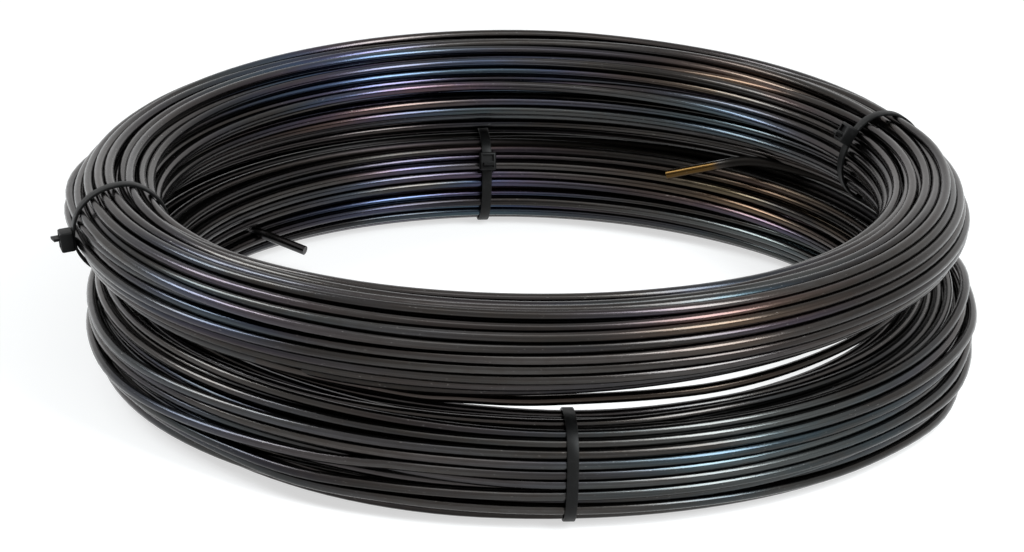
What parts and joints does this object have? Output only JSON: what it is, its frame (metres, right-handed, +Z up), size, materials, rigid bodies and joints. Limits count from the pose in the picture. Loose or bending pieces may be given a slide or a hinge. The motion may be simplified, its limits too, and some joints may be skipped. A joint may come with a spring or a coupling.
{
  "type": "coil of wire rod",
  "caption": "Round coil of dark steel wire wound in stacked bundles held by nylon cable ties, lying flat with an open eye, a free wire end in the eye.",
  "frame": {"origin": "on the floor under the coil's eye, midway between the axes of the two bundles", "axes": "+Z up along the coil's axis, -Y towards the front as pictured, +X to the right"},
  "size_m": [0.407, 0.4016, 0.096],
  "materials": {
    "wire": "dark heat-tinted oxide, satin",
    "tie": "black moulded nylon"
  },
  "bodies": {
    "root": {"lower_bundle": "wire", "upper_bundle": "wire", "last_turn": "wire", "lower_tie_front": "tie", "lower_tie_back": "tie", "upper_tie_left": "tie", "upper_tie_right": "tie"}
  },
  "joints": []
}
